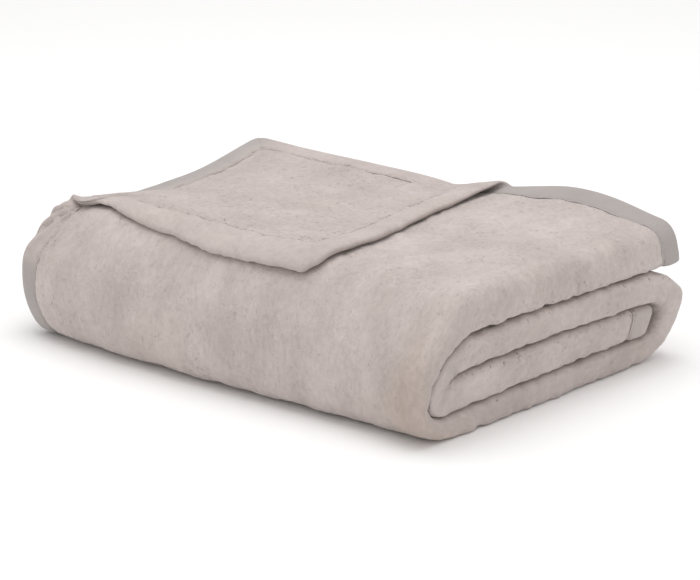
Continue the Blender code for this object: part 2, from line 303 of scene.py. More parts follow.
def filled_out(out, up, squareness):
    """How much further a fold's round nose reaches in this direction when it is squarer than a circle."""
    size = np.maximum(np.hypot(out, up), 1e-9)
    growth = ((out / size) ** squareness + (up / size) ** squareness) ** (-1 / squareness)
    return np.where(out > 0, growth, 1)


def round_corners(u, v):
    """Takes the sharp point off each corner of the flat blanket."""
    across = np.maximum(CORNER_ROUNDING - np.minimum(u, CLOTH_WIDTH - u), 0)
    along = np.maximum(CORNER_ROUNDING - np.minimum(v, CLOTH_LENGTH - v), 0)
    size = np.hypot(across, along)
    shrink = 1 - np.maximum(across, along) / np.where(size > 0, size, 1)
    shrink = np.where((across > 0) & (along > 0), shrink, 0)
    u = u + np.where(u < CLOTH_WIDTH / 2, 1, -1) * across * shrink
    v = v + np.where(v < CLOTH_LENGTH / 2, 1, -1) * along * shrink
    return u, v


def turn_corner(u, v, n):
    """Rolls the corner at u = 0, v = 0 up over its crease and lays it down on the ply."""
    across = u * CREASE_V - v * CREASE_U
    from_left = across + CREASE_ON_LEFT * CREASE_U
    bend = CREASE_BEND / (1 + np.exp((from_left - CREASE_BEND_AT) / CREASE_BEND_RUN))
    beyond = CREASE_DISTANCE - bend - u * CREASE_U - v * CREASE_V
    turned = beyond > 0
    past, lifted = CREASE.at(np.maximum(beyond, 0), n)
    fullness = 1
    for row in FLATTENED.values():
        fullness = fullness - row["share"] * hill((u, v), row)
    lifted = np.minimum(lifted, CORNER_REST) + np.maximum(lifted - CORNER_REST, 0) * fullness
    free = eased((beyond - pi * CREASE_RADIUS) / CORNER_FREE_RUN)
    inward = CREASE_DISTANCE - bend - past - free * ripples(across, past, CORNER_WAVES)
    landed = (inward * CREASE_U + across * CREASE_V, inward * CREASE_V - across * CREASE_U)
    shift = shifted_by(landed, CORNER_LIE, free)
    new_u = np.where(turned, landed[0] + shift[0], u)
    new_v = np.where(turned, landed[1] + shift[1], v)
    return new_u, new_v, np.where(turned, lifted + shift[2], n) + pleats(new_u, new_v)


def pleats(u, v):
    """How high the pleats stand: they fan out from the foot of the crease to the left edge."""
    out, along = PLEAT_ROOT[0] - u, v - PLEAT_ROOT[1]
    angle = np.arctan2(along, out)
    distance = np.hypot(out, along)
    rise = np.clip((distance - PLEAT_START) / PLEAT_RISE, 0, 1)
    reach = rise * np.exp(-((np.maximum(distance - PLEAT_END, 0) / PLEAT_FADE) ** 2))
    ridges = np.exp(-(((angle - FAN_ANGLE) / FAN_WIDTH) ** 4))
    for crease in PLEAT_ANGLES:
        ridges = ridges * (1 - np.exp(-(((angle - crease) / PLEAT_WIDTH) ** 2)))
    return PLEAT_HEIGHT * ridges * reach * (out > 0)


def press(z):
    """The height to which the stack's own weight presses a point, passing smoothly from band to band."""
    slopes = np.diff(PRESSED) / np.diff(LOOSE)
    between = 2 / (1 / slopes[:-1] + 1 / slopes[1:])
    tangents = np.concatenate([slopes[:1], between, slopes[-1:]])
    i = np.clip(np.searchsorted(LOOSE, z, side="right") - 1, 0, len(slopes) - 1)
    width = (LOOSE[1:] - LOOSE[:-1])[i]
    t = (z - LOOSE[i]) / width
    rest = PRESSED[i] * (1 + 2 * t) * (1 - t) ** 2 + PRESSED[i + 1] * (3 - 2 * t) * t**2
    return rest + width * t * (1 - t) * (tangents[i] * (1 - t) - tangents[i + 1] * t)


def square_front(y, z):
    """Fills the round front fold out towards its corners, above and below its middle."""
    lower = z < FRONT_MIDDLE
    half = np.where(lower, FRONT_MIDDLE, PRESSED_TOP - FRONT_MIDDLE)
    squareness = np.where(lower, FRONT_LOWER_SQUARENESS, FRONT_UPPER_SQUARENESS)
    out = np.maximum((FRONT_TURN_Y - y) / FRONT_TURN_Y, 0)
    growth = filled_out(out, np.abs(z - FRONT_MIDDLE) / half, squareness)
    y = np.where(out > 0, FRONT_TURN_Y - (FRONT_TURN_Y - y) * growth, y)
    return y, FRONT_MIDDLE + (z - FRONT_MIDDLE) * growth


def square_nose(x, height, v):
    """Fills the side fold out, so that band lies close on band; the top and the front stay round."""
    open_side = (height > 0) * np.clip((FRONT_END - v) / NOSE_OPENING_RUN, 0, 1)
    squareness = NOSE_SQUARENESS - (NOSE_SQUARENESS - 2) * open_side
    out = np.maximum(x - NOSE_START, 0) / STRIP_HALF
    growth = filled_out(out, np.abs(height) / STRIP_HALF, squareness)
    return np.where(out > 0, NOSE_START + (x - NOSE_START) * growth, x), height * growth


def settle(x, y, z):
    """Gives the folded stack the uneven shape that soft cloth takes under its own weight."""
    y, z = square_front(y, press(z))
    end = (2 * x / FOLDED_WIDTH - 1) ** 2
    y = y + FRONT_BELLY * end * np.maximum(1 - y / BELLY_DEPTH, 0) ** BELLY_FADE
    lift = lifted_by((x, y), HILLS)
    shift = shifted_by((x, y, z), ENDS)
    z = z + lift * (z / STACK_HEIGHT) ** 2 + shift[2] * np.tanh(np.maximum(z, 0) / FLOOR_GRIP)
    return x + shift[0], y + shift[1], z


def fold_loose(u, v, n):
    """Where points of the flat blanket lie once it is folded, in the stack's own X, Y and Z."""
    u, v, n = turn_corner(*round_corners(u, v), n)
    x, height = square_nose(*STRIP.at(u, n), v)
    y, z = ROLL.at(v, -height)
    return np.stack(settle(x, y, z), axis=-1)


SAMPLES_ACROSS = 400
SAMPLES_ALONG = 300
SAMPLE_HEIGHT = STRIP_HALF / 4.5


def standing_shift():
    """What stands the blanket where the solids stand: at their right end, and midway from front to back."""
    across = np.linspace(0, CLOTH_WIDTH, SAMPLES_ACROSS)
    along = np.linspace(0, CLOTH_LENGTH, SAMPLES_ALONG)
    u, v, n = np.meshgrid(across, along, (-SAMPLE_HEIGHT, SAMPLE_HEIGHT), indexing="ij")
    points = fold_loose(u.ravel(), v.ravel(), n.ravel())
    (_, front_end, foot), (right_end, back_end, _) = cad_box
    x = right_end - points[:, 0].max()
    y = (front_end + back_end) / 2 - (points[:, 1].min() + points[:, 1].max()) / 2
    return np.array([x, y, foot])


SHIFT = standing_shift()

# The back edge of the top ply, right of the crease: where along it the edge rolls up, and across it the
# height of the roll and the dip inside the tape.
EDGE_ROLLS = {
    "beside the crease": {"height": 1.0, "at": (0.43,), "reach": (0.045,)},
    "right": {"height": 0.7, "at": (0.51,), "reach": (0.05,)},
}
EDGE_SECTION = {
    "roll": {"height": 0.003, "at": (0,), "reach": (0.014,)},
    "dip": {"height": -0.0018, "at": (0.028,), "reach": (0.010,)},
}


def fold(u, v, n):
    """Where points of the flat, sewn blanket lie once it is folded and stood in its place on the floor."""
    rolled_edge = lifted_by((u,), EDGE_ROLLS) * lifted_by((v,), EDGE_SECTION)
    points = fold_loose(u, v, n + rolled_edge) + SHIFT
    foot = cad_box[0][2]
    points[:, 2] = foot + FOOT_SOFTNESS * np.logaddexp(0, (points[:, 2] - foot) / FOOT_SOFTNESS)
    return points


# The uneven pile: waves over the whole cloth, a tousled patch on the front, a short crease under the tip of
# the turned corner, and rucks round the side fold.
PILE_WAVES = (
    {"height": 0.0005, "length": 0.085, "seed": 1, "count": 24},
    {"height": 0.0003, "length": 0.032, "seed": 2, "count": 24},
    {"height": 0.00022, "length": 0.0115, "seed": 3, "count": 40},
)
TOUSLED = {"at": (0.262, 0.445), "reach": (0.016, 0.028)}
TOUSLED_WAVES = ({"height": 0.0008, "length": 0.0085, "seed": 4, "count": 20},)
SHORT_CREASE = {"at": (0.343, 0.392), "reach": (0.0016, 0.016)}
SHORT_CREASE_DEPTH = 0.0012
RUCKED = {"at": ((NOSE_START + NOSE_END) / 2,), "reach": (0.026,)}
RUCK_WAVES = ({"height": 0.0005, "length": 0.021, "seed": 5, "count": 12},)
RUCK_STRETCH = 0.25
PILE_RISE = 0.003
PILE_TO_TAPE = 0.0002

# The gathers that the seams draw into the cloth along the tapes.
GATHER_WAVES = (
    {"height": 0.0002, "length": 0.017, "seed": 11, "count": 12},
    {"height": 0.0004, "length": 0.041, "seed": 12, "count": 8},
)
GATHERED = {"at": (TAPE_WIDTH,), "reach": (0.016,)}
GATHER_CORNER = 0.03


def edge_distances(u, v):
    """How far a point of the flat blanket is from the nearest side edge, and from the nearest end."""
    return np.minimum(u, CLOTH_WIDTH - u), np.minimum(v, CLOTH_LENGTH - v)


def pucker(u, v):
    """The gathers, square to each edge, fading out at the corners."""
    side, end = edge_distances(u, v)
    along = np.where(side < end, v, u)
    corner = np.clip(np.abs(side - end) / GATHER_CORNER, 0, 1)
    return ripples(along, 0 * along, GATHER_WAVES) * hill((np.minimum(side, end),), GATHERED) * corner


def loft(u, v):
    """How far the pile stands above or below its even surface."""
    rucks = hill((u,), RUCKED) * ripples(RUCK_STRETCH * u, v, RUCK_WAVES)
    tousled = hill((u, v), TOUSLED) * ripples(u, v, TOUSLED_WAVES)
    crease = SHORT_CREASE_DEPTH * hill((u, v), SHORT_CREASE)
    return ripples(u, v, PILE_WAVES) + rucks + tousled - crease


def upper_surface(u, v):
    """Height of the pile above the cloth's middle: thin under the tapes, and full a little inside them."""
    from_tape = np.minimum(*edge_distances(u, v)) - TAPE_WIDTH - PILE_TO_TAPE
    full = np.clip(from_tape / PILE_RISE, 0, 1)
    full = np.sqrt(1 - (1 - full) ** 2)
    body = (PILE_THICKNESS - EDGE_THICKNESS) / 2 * full
    return EDGE_THICKNESS / 2 + body + loft(u, v) * full


def stations(*marks):
    """Distances along one side of the flat cloth, from mark to mark in steps of about the given size."""
    found = [marks[0][0]]
    for (begin, step), (end, _) in zip(marks, marks[1:]):
        steps = max(1, round((end - begin) / step))
        found += [begin + (end - begin) * (i + 1) / steps for i in range(steps)]
    return np.array(found)


def flat_piece(points, faces):
    """A flat piece made of these points and faces, ready to be cut, and then folded."""
    mesh = bpy.data.meshes.new("flat")
    mesh.from_pydata(points, [], faces)
    sheet = bmesh.new()
    sheet.from_mesh(mesh)
    bpy.data.meshes.remove(mesh)
    return sheet


def flat_sheet(us, vs):
    """A closed flat sheet, with n = 1 on its upper face and n = -1 on its lower one."""
    rows, columns = len(us), len(vs)
    u, v = np.meshgrid(us, vs, indexing="ij")
    upper = np.stack([u.ravel(), v.ravel(), np.ones(u.size)], axis=1)
    lower = upper * (1, 1, -1)
    index = np.arange(rows * columns).reshape(rows, columns)
    quads = np.stack([index[:-1, :-1], index[1:, :-1], index[1:, 1:], index[:-1, 1:]], axis=-1).reshape(-1, 4)
    ring = [*index[:-1, 0], *index[-1, :-1], *index[:0:-1, -1], *index[0, :0:-1]]
    turned = ring[1:] + ring[:1]
    rim = [(a + u.size, b + u.size, b, a) for a, b in zip(ring, turned)]
    faces = [*quads.tolist(), *(quads[:, ::-1] + u.size).tolist(), *rim]
    return flat_piece([*upper.tolist(), *lower.tolist()], faces)


CREASE_MARGIN = 0.02
FRONT_MARGIN = 0.03
NOSE_FRONT_MARGIN = 0.012
NOSE_BACK_MARGIN = 0.006


def in_sight(u, v, upper):
    """Whether this spot on a face of the flat cloth can be seen once it is folded."""
    inward = u * CREASE_U + v * CREASE_V
    if not upper:
        shown_ply = u > CLOTH_WIDTH - CREASE_ON_BACK - CREASE_MARGIN and v < CREASE_ON_LEFT + CREASE_MARGIN
        return inward < CREASE_DISTANCE + CREASE_MARGIN or shown_ply
    if v < FRONT_END + FRONT_MARGIN and u < NOSE_END:
        return inward > CREASE_DISTANCE - CREASE_MARGIN
    nose = NOSE_START - NOSE_FRONT_MARGIN < u < NOSE_END + NOSE_BACK_MARGIN
    back_fold = BACK_START < v < BACK_END and u < NOSE_END
    return nose or back_fold


# The cloth stops just inside its tapes' folds. Each mark is a place across or along the flat cloth, with the
# size of the steps from there on: fine round the tight folds. Wherever the cloth shows they are cut in four.
CLOTH_INSET = 0.0032
u_marks = (
    (CLOTH_INSET, 0.0145),
    (NOSE_START, 0.011),
    (NOSE_END, 0.024),
    (LEFT_FOLD_START, 0.0024),
    (LEFT_FOLD_END, 0.024),
    (INNER_NOSE_START, 0.0024),
    (INNER_NOSE_END, 0.0145),
    (CLOTH_WIDTH - CLOTH_INSET, 0),
)
v_marks = (
    (CLOTH_INSET, 0.0145),
    (BACK_START, 0.0095),
    (BACK_END, 0.018),
    (INNER_START, 0.006),
    (INNER_END, 0.018),
    (CLOTH_LENGTH - CLOTH_INSET, 0),
)
flat_cloth = flat_sheet(stations(*u_marks), stations(*v_marks))
seen = set()
for face in flat_cloth.faces:
    middle = face.calc_center_median()
    on_rim = abs(middle.z) < 0.5
    if not on_rim and in_sight(middle.x, middle.y, middle.z > 0):
        seen.update(face.edges)
bmesh.ops.subdivide_edges(flat_cloth, edges=list(seen), cuts=3, use_grid_fill=True)
bmesh.ops.triangulate(flat_cloth, faces=[face for face in flat_cloth.faces if len(face.verts) > 4])

# How far along the left edge its tape's brushed half shows, and how far in from the right edge the lower face
# takes the look of the upper one.
FLUFF_END = 0.425
FLUFF_FADE = 0.02
FLUFF_PAST_TAPE = 0.01
RIM_WIDTH = 0.029


def fluffed(u, v):
    """How far the tape's brushed inner half is drawn over the left edge, down to the foot of the crease."""
    return eased((FLUFF_END - v) / FLUFF_FADE) * (u < TAPE_WIDTH + FLUFF_PAST_TAPE)


def folded_object(name, sheet, shape, smoothness=1.0):
    """Folds a flat piece and puts it in the scene.

    It keeps its flat u and v as a UV map. Its "upper" attribute says how far each point looks as the upper
    face does: the smoothness on that face where it isn't fluffed, and up to 1 in the rim of the lower face.
    """
    mesh = bpy.data.meshes.new(name)
    sheet.to_mesh(mesh)
    sheet.free()
    flat = np.empty(len(mesh.vertices) * 3)
    mesh.vertices.foreach_get("co", flat)
    flat = flat.reshape(-1, 3)
    mesh.vertices.foreach_set("co", shape(*flat.T).ravel())
    corners = np.empty(len(mesh.loops), dtype=np.int32)
    mesh.loops.foreach_get("vertex_index", corners)
    mesh.uv_layers.new(name="flat").data.foreach_set("uv", flat[corners, :2].ravel())
    upper = smoothness * (1 - fluffed(flat[:, 0], flat[:, 1]))
    rim = np.exp(-(((CLOTH_WIDTH - flat[:, 0]) / RIM_WIDTH) ** 4))
    upper = np.where(flat[:, 2] > 0, upper, rim)
    mesh.attributes.new("upper", "FLOAT", "POINT").data.foreach_set("value", upper.astype(np.float32))
    mesh.shade_smooth()
    mesh.update()
    made = bpy.data.objects.new(name, mesh)
    bpy.context.scene.collection.objects.link(made)
    return made


def outward(made):
    """Turns a closed mesh's faces outwards."""
    shell = bmesh.new()
    shell.from_mesh(made.data)
    if shell.calc_volume(signed=True) < 0:
        bmesh.ops.reverse_faces(shell, faces=shell.faces[:])
        shell.to_mesh(made.data)
    shell.free()


def cloth_shape(u, v, side):
    """Gives the flat panel its thickness and creases, and folds it."""
    return fold(u, v, side * upper_surface(u, v) + pucker(u, v))


cloth = folded_object("pile_panel", flat_cloth, cloth_shape)


def new_material(name):
    """A material with its nodes, its links and the shader that they feed."""
    material = bpy.data.materials.new(name)
    material.use_nodes = True
    nodes = material.node_tree.nodes
    return material, nodes, material.node_tree.links, nodes["Principled BSDF"]


def flat_place(nodes):
    """The place on the flat cloth, so that a pattern follows every fold."""
    place = nodes.new("ShaderNodeUVMap")
    place.uv_map = "flat"
    return place.outputs["UV"]


def noise(nodes, links, where, scale, detail, rough, stretch=(1, 1, 1)):
    """A noise texture on the flat cloth."""
    mapping = nodes.new("ShaderNodeMapping")
    mapping.inputs["Scale"].default_value = stretch
    texture = nodes.new("ShaderNodeTexNoise")
    texture.inputs["Scale"].default_value = scale
    texture.inputs["Detail"].default_value = detail
    texture.inputs["Roughness"].default_value = rough
    links.new(where, mapping.inputs["Vector"])
    links.new(mapping.outputs["Vector"], texture.inputs["Vector"])
    return texture.outputs["Fac"]


def ramp(nodes, links, source, *stops):
    """A colour ramp with these (position, colour) stops."""
    made = nodes.new("ShaderNodeValToRGB")
    made.color_ramp.elements[0].position = stops[0][0]
    made.color_ramp.elements[0].color = (*stops[0][1], 1)
    made.color_ramp.elements[1].position = stops[-1][0]
    made.color_ramp.elements[1].color = (*stops[-1][1], 1)
    for position, colour in stops[1:-1]:
        made.color_ramp.elements.new(position).color = (*colour, 1)
    links.new(source, made.inputs["Fac"])
    return made.outputs["Color"]


# A Mix node's sockets, by kind of data: its first input, its second one, and its result.
MIX_SOCKETS = {"RGBA": (6, 7, 2), "VECTOR": (4, 5, 1)}


def mixed(nodes, links, amount, first, second, data="RGBA"):
    """One colour or vector passing into another, by the amount that a socket gives."""
    first_input, second_input, result = MIX_SOCKETS[data]
    made = nodes.new("ShaderNodeMix")
    made.data_type = data
    links.new(amount, made.inputs[0])
    links.new(first, made.inputs[first_input])
    links.new(second, made.inputs[second_input])
    return made.outputs[result]


def darkened(nodes, links, amount, colour, shade):
    """A colour multiplied by a shade, by this amount."""
    first_input, second_input, result = MIX_SOCKETS["RGBA"]
    made = nodes.new("ShaderNodeMix")
    made.data_type = "RGBA"
    made.blend_type = "MULTIPLY"
    made.inputs[0].default_value = amount
    links.new(colour, made.inputs[first_input])
    links.new(shade, made.inputs[second_input])
    return made.outputs[result]


def upper_share(nodes):
    """How far each point looks as the upper face does, as folded_object keeps it."""
    side = nodes.new("ShaderNodeAttribute")
    side.attribute_name = "upper"
    return side.outputs["Fac"]


def bump(nodes, links, height, distance, strength, under=None):
    """A relief of this depth, laid over the one under it."""
    made = nodes.new("ShaderNodeBump")
    made.inputs["Distance"].default_value = distance
    made.inputs["Strength"].default_value = strength
    links.new(height, made.inputs["Height"])
    if under:
        links.new(under, made.inputs["Normal"])
    return made.outputs["Normal"]


WHITE = (1.0, 1.0, 1.0)
ROOT_SHADE = (0.86, 0.85, 0.84)
WARM_SHADE = (1.0, 0.987, 0.965)
# Painted shade, browner, for where the top of the cloth turns into its side fold.
SHOULDER_PAINTED_SHADE = (0.87, 0.81, 0.74)
FAINT_GREY = (0.15, 0.15, 0.15)
BLACK = (0, 0, 0)
STROKE_COLOURS = (
    {"stop": 0.32, "lower": (0.510, 0.444, 0.421), "upper": (0.525, 0.460, 0.437)},
    {"stop": 0.52, "lower": (0.568, 0.499, 0.474), "upper": (0.590, 0.520, 0.497)},
    {"stop": 0.70, "lower": (0.620, 0.547, 0.521), "upper": (0.655, 0.583, 0.560)},
)


def shoulder_painted_shade(nodes, links, flat_uv):
    """Painted shade, browner and darker, where the cloth turns into its side fold: partly the shade of the
    turn, partly the pile brushed the other way.
    """
    place = nodes.new("ShaderNodeSeparateXYZ")
    links.new(flat_uv, place.inputs["Vector"])
    across = (0.515, WHITE), (0.552, SHOULDER_PAINTED_SHADE), (0.60, WHITE)
    along = (0.36, FAINT_GREY), (0.44, WHITE), (0.50, WHITE), (0.56, BLACK)
    browned_and_shaded = ramp(nodes, links, place.outputs["X"], *across)
    lasts = ramp(nodes, links, place.outputs["Y"], *along)
    plain = nodes.new("ShaderNodeRGB").outputs["Color"]
    plain.default_value = (*WHITE, 1)
    return mixed(nodes, links, lasts, plain, browned_and_shaded)


def plush_colours(nodes, links, flat_uv):
    """The pile's colour on the lower face and on the upper: brushed strokes, clumps of darker roots, and
    painted shade where the cloth turns into its side fold.
    """
    strokes = noise(nodes, links, flat_uv, scale=13, detail=4, rough=0.6, stretch=(1.6, 1, 1))
    clumps = noise(nodes, links, flat_uv, scale=190, detail=5, rough=0.65, stretch=(1, 0.75, 1))
    clumps = ramp(nodes, links, clumps, (0.32, ROOT_SHADE), (0.66, WHITE))
    warm = noise(nodes, links, flat_uv, scale=7, detail=2, rough=0.5)
    warm = ramp(nodes, links, warm, (0.50, WHITE), (0.68, WARM_SHADE))
    clumps = darkened(nodes, links, 1.0, clumps, warm)
    # Painted shade where the cloth turns into its side fold, multiplied into the pile's colour.
    clumps = darkened(nodes, links, 1.0, clumps, shoulder_painted_shade(nodes, links, flat_uv))
    found = []
    for face in ("lower", "upper"):
        stops = [(row["stop"], row[face]) for row in STROKE_COLOURS]
        found.append(darkened(nodes, links, 0.85, ramp(nodes, links, strokes, *stops), clumps))
    return found


def plush_material(name):
    """Matt, softly shining pile, coloured by the face that shows."""
    material, nodes, links, shader = new_material(name)
    flat_uv = flat_place(nodes)
    lower, upper = plush_colours(nodes, links, flat_uv)
    links.new(mixed(nodes, links, upper_share(nodes), lower, upper), shader.inputs["Base Color"])
    shader.inputs["Roughness"].default_value = 0.92
    shader.inputs["Specular IOR Level"].default_value = 0.15
    shader.inputs["Sheen Weight"].default_value = 0.35
    shader.inputs["Sheen Roughness"].default_value = 0.45
    shader.inputs["Sheen Tint"].default_value = (1.0, 0.97, 0.95, 1)
    return material, nodes, links, flat_uv


def plush_bump(nodes, links, flat_uv):
    """The tufts of the pile, and the finer lie of its fibres."""
    tufts = noise(nodes, links, flat_uv, scale=170, detail=5, rough=0.65, stretch=(1, 0.7, 1))
    fibres = noise(nodes, links, flat_uv, scale=620, detail=3, rough=0.65, stretch=(1, 0.5, 1))
    tufted = bump(nodes, links, tufts, distance=0.0018, strength=0.6)
    return bump(nodes, links, fibres, distance=0.0008, strength=0.6, under=tufted)


plush, nodes, links, flat_uv = plush_material("greige_plush")
links.new(plush_bump(nodes, links, flat_uv), nodes["Principled BSDF"].inputs["Normal"])
cloth.data.materials.append(plush)
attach(cloth, "root")
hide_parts("pile_cloth")

# ---------------------------------------------------------------------------------------------------------
# The pile's tips: locks of longer fibres that stand up out of the plush on both faces of the cloth, and out
# of the tapes' inner halves, which are brushed too. They are of the same polyester yarn.
# ---------------------------------------------------------------------------------------------------------
TAPE_THICKNESS = 0.0008
TAPE_CLEARANCE = 0.0004
TAPE_UNDER = EDGE_THICKNESS / 2 + TAPE_CLEARANCE
TAPE_TOP = TAPE_UNDER + TAPE_THICKNESS

LOCKS_TRIED = 560000
LOCK_SEEDS = (40, 41)
LOCK_WIDTH = 0.0009
LOCK_HEIGHT = 0.0005
LOCK_LEAN = 0.0027
LOCK_DEPTH = 0.0004
LOCK_INSET = 0.004
SMALLEST_LOCK = 0.5
LARGEST_LOCK = 1.2
SWIRL = 1.3
SWIRL_LENGTH = 0.06
STRAY_ANGLE = 0.9


def flat_locks(seed):
    """Closed, pointed locks of fibre at random places on the seen parts of the flat cloth."""
    random = np.random.default_rng(seed)
    u = random.uniform(LOCK_INSET, CLOTH_WIDTH - LOCK_INSET, LOCKS_TRIED)
    v = random.uniform(LOCK_INSET, CLOTH_LENGTH - LOCK_INSET, LOCKS_TRIED)
    side = random.choice((-1, 1), LOCKS_TRIED)
    on_tape = np.minimum(*edge_distances(u, v)) < TAPE_WIDTH
    bare = on_tape & (side > 0) & (fluffed(u, v) < 0.5)
    kept = np.array([in_sight(*spot) for spot in zip(u, v, side > 0)]) & ~bare
    u, v, side, on_tape = u[kept], v[kept], side[kept], on_tape[kept]
    size = random.uniform(SMALLEST_LOCK, LARGEST_LOCK, len(u))
    stray = random.normal(0, STRAY_ANGLE, len(u))
    heading = SWIRL * ripple(u, v, SWIRL_LENGTH, seed + 1) + stray - pi / 2
    spin = random.uniform(0, 2 * pi, len(u))
    root = np.where(on_tape, TAPE_TOP, upper_surface(u, v)) - LOCK_DEPTH
    across = LOCK_WIDTH / 2 * size
    corners = []
    for turn in (0, 2 * pi / 3, 4 * pi / 3):
        corners.append((u + across * np.cos(spin + turn), v + across * np.sin(spin + turn), root))
    lean = LOCK_LEAN * size
    tip = root + LOCK_DEPTH + LOCK_HEIGHT * size
    corners.append((u + lean * np.cos(heading), v + lean * np.sin(heading), tip))
    points = np.array([np.stack([cu, cv, side * cn], axis=-1) for cu, cv, cn in corners]).transpose(1, 0, 2)
    points = points.reshape(-1, 3)
    first = 4 * np.arange(len(u))[:, None]
    outside = np.array(((0, 1, 3), (1, 2, 3), (2, 0, 3), (0, 2, 1)))
    faces = np.concatenate([first + np.where(side[:, None] > 0, face, face[::-1]) for face in outside])
    return flat_piece(points.tolist(), faces.tolist()), points


def sewn_shape(u, v, n):
    """Folds a small piece with the gathered cloth that it is fixed to."""
    return fold(u, v, n + pucker(u, v))


def comb(made, points):
    """Lets light fall on the locks as on the soft pile they lie in."""
    u, v, n = points.T
    normals = sewn_shape(u, v, n + np.sign(n) * LOCK_DEPTH) - sewn_shape(u, v, n)
    normals /= np.linalg.norm(normals, axis=1)[:, None]
    made.data.normals_split_custom_set_from_vertices(normals.tolist())


tips = plush_material("plush_tips")[0]
for number, seed in enumerate(LOCK_SEEDS, 1):
    sheet, points = flat_locks(seed)
    made = folded_object(f"pile_tips_{number}", sheet, sewn_shape)
    outward(made)
    comb(made, points)
    made.data.materials.append(tips)
    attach(made, "root")

# ---------------------------------------------------------------------------------------------------------
# The binding tapes: a close-knit tape, smooth outside and brushed like the pile inside, folded lengthwise
# over each edge of the cloth and mitred at the corners. The seam that holds it draws it into slight gathers.
# ---------------------------------------------------------------------------------------------------------
SEAM_INSET = TAPE_WIDTH - 0.0035
SEAM_DEPTH = 0.0007
SEAM_WIDTH = 0.0014
FACE_START = TAPE_WIDTH - 0.0004
SEAM_STRIP_END = TAPE_WIDTH - 0.008
PLAIN_START = TAPE_WIDTH - 0.011
PLAIN_END = 0.006
INSIDE_STATIONS = (0.0022, 0.011, 0.021, FACE_START)
FOLD_ANGLES = radians(0), radians(22), radians(45), radians(68)
TAPE_PUFF = 0.0010
MITRE_RUN = 0.06
MITRE_CLEARANCE = 0.00005
SLACK_HEIGHT = 0.00024
SLACK_LENGTH = 0.021
SLACK_STRETCH = 0.6
SLACK_START = 0.012
CRIMP_HEIGHT = 0.00006
CRIMP_LENGTH = 0.0065
CRIMP_STRETCH = 0.5


def tape_section():
    """Round a tape's section, as (inset, height): inside, over the inner edge, outside, round the fold."""
    inside = [(inset, TAPE_UNDER) for inset in INSIDE_STATIONS]
    inner_edge = [(TAPE_WIDTH, (TAPE_TOP + TAPE_UNDER) / 2)]
    by_seam = [(inset, TAPE_TOP) for inset in np.linspace(FACE_START, SEAM_STRIP_END, 9)]
    plain = [(inset, TAPE_TOP) for inset in np.linspace(PLAIN_START, PLAIN_END, 6)]
    folded_edge = [(TAPE_TOP * (1 - sin(angle)), TAPE_TOP * cos(angle)) for angle in FOLD_ANGLES]
    upper = inside + inner_edge + by_seam + plain + folded_edge
    return upper + [(0.0, 0.0)] + [(inset, -height) for inset, height in upper[::-1]]


def on_edge(edge, inset, along):
    """The flat u and v of a point this far in from an edge, and this far along it."""
    if edge == "left":
        return inset, along
    if edge == "right":
        return CLOTH_WIDTH - inset, along
    if edge == "top":
        return along, inset
    return along, CLOTH_LENGTH - inset


def flat_tape(edge, length, marks):
    """A tape folded over an edge of this length, mitred at both ends."""
    section = tape_section()
    sheet = bmesh.new()
    rings = []
    for along in stations(*marks):
        slant = max(0, 1 - along / MITRE_RUN) - max(0, 1 - (length - along) / MITRE_RUN)
        ring = []
        for inset, height in section:
            u, v = on_edge(edge, inset, along + slant * (inset + MITRE_CLEARANCE))
            ring.append(sheet.verts.new((u, v, height)))
        rings.append(ring)
    for first, last in zip(rings, rings[1:]):
        for j in range(len(section)):
            k = (j + 1) % len(section)
            sheet.faces.new((first[j], first[k], last[k], last[j]))
    for end in (rings[0][::-1], rings[-1]):
        for cut in sheet.faces.new(end).edges:
            cut.smooth = False
    return sheet


def tape_relief(inset, u, v):
    """How far the tape's outside stands above its even height: its seam, its gathers and its slack."""
    side, end = edge_distances(u, v)
    along = np.where(side < end, v, u)
    seam = -SEAM_DEPTH * np.exp(-(((inset - SEAM_INSET) / SEAM_WIDTH) ** 2))
    slack = SLACK_HEIGHT * ripple(along, inset * SLACK_STRETCH, SLACK_LENGTH, seed=21)
    crimp = CRIMP_HEIGHT * ripple(along, inset * CRIMP_STRETCH, CRIMP_LENGTH, seed=22)
    puff = TAPE_PUFF * (1 - (2 * inset / SEAM_INSET - 1) ** 2) * (inset < SEAM_INSET)
    return seam + puff + (slack + crimp) * np.clip(inset / SLACK_START, 0, 1)


def tape_shape(u, v, n):
    """Puts the seam and the gathers into a flat tape, and folds it with the cloth."""
    inset = np.minimum(*edge_distances(u, v))
    outer_face = np.abs(n) > TAPE_UNDER + TAPE_CLEARANCE
    relief = np.where(outer_face & (inset > TAPE_TOP), tape_relief(inset, u, v), 0)
    return sewn_shape(u, v, n + np.sign(n) * relief)


satin, nodes, links, shader = new_material("knitted_tape")
flat_uv = flat_place(nodes)
shown = upper_share(nodes)
wear = noise(nodes, links, flat_uv, scale=14, detail=3, rough=0.6)
wear = ramp(nodes, links, wear, (0.3, (0.396, 0.360, 0.346)), (0.7, (0.444, 0.406, 0.390)))
yarn = noise(nodes, links, flat_uv, scale=700, detail=2, rough=0.5)
yarn = ramp(nodes, links, yarn, (0.35, (0.86, 0.86, 0.85)), (0.65, WHITE))
knit = darkened(nodes, links, 0.6, wear, yarn)
brushed = plush_colours(nodes, links, flat_uv)[0]
links.new(mixed(nodes, links, shown, brushed, knit), shader.inputs["Base Color"])
shader.inputs["Roughness"].default_value = 0.72
shader.inputs["Specular IOR Level"].default_value = 0.3
shader.inputs["Sheen Weight"].default_value = 0.15
shader.inputs["Sheen Roughness"].default_value = 0.4
weave_height = nodes.new("ShaderNodeMath")
weave_height.operation = "MULTIPLY"
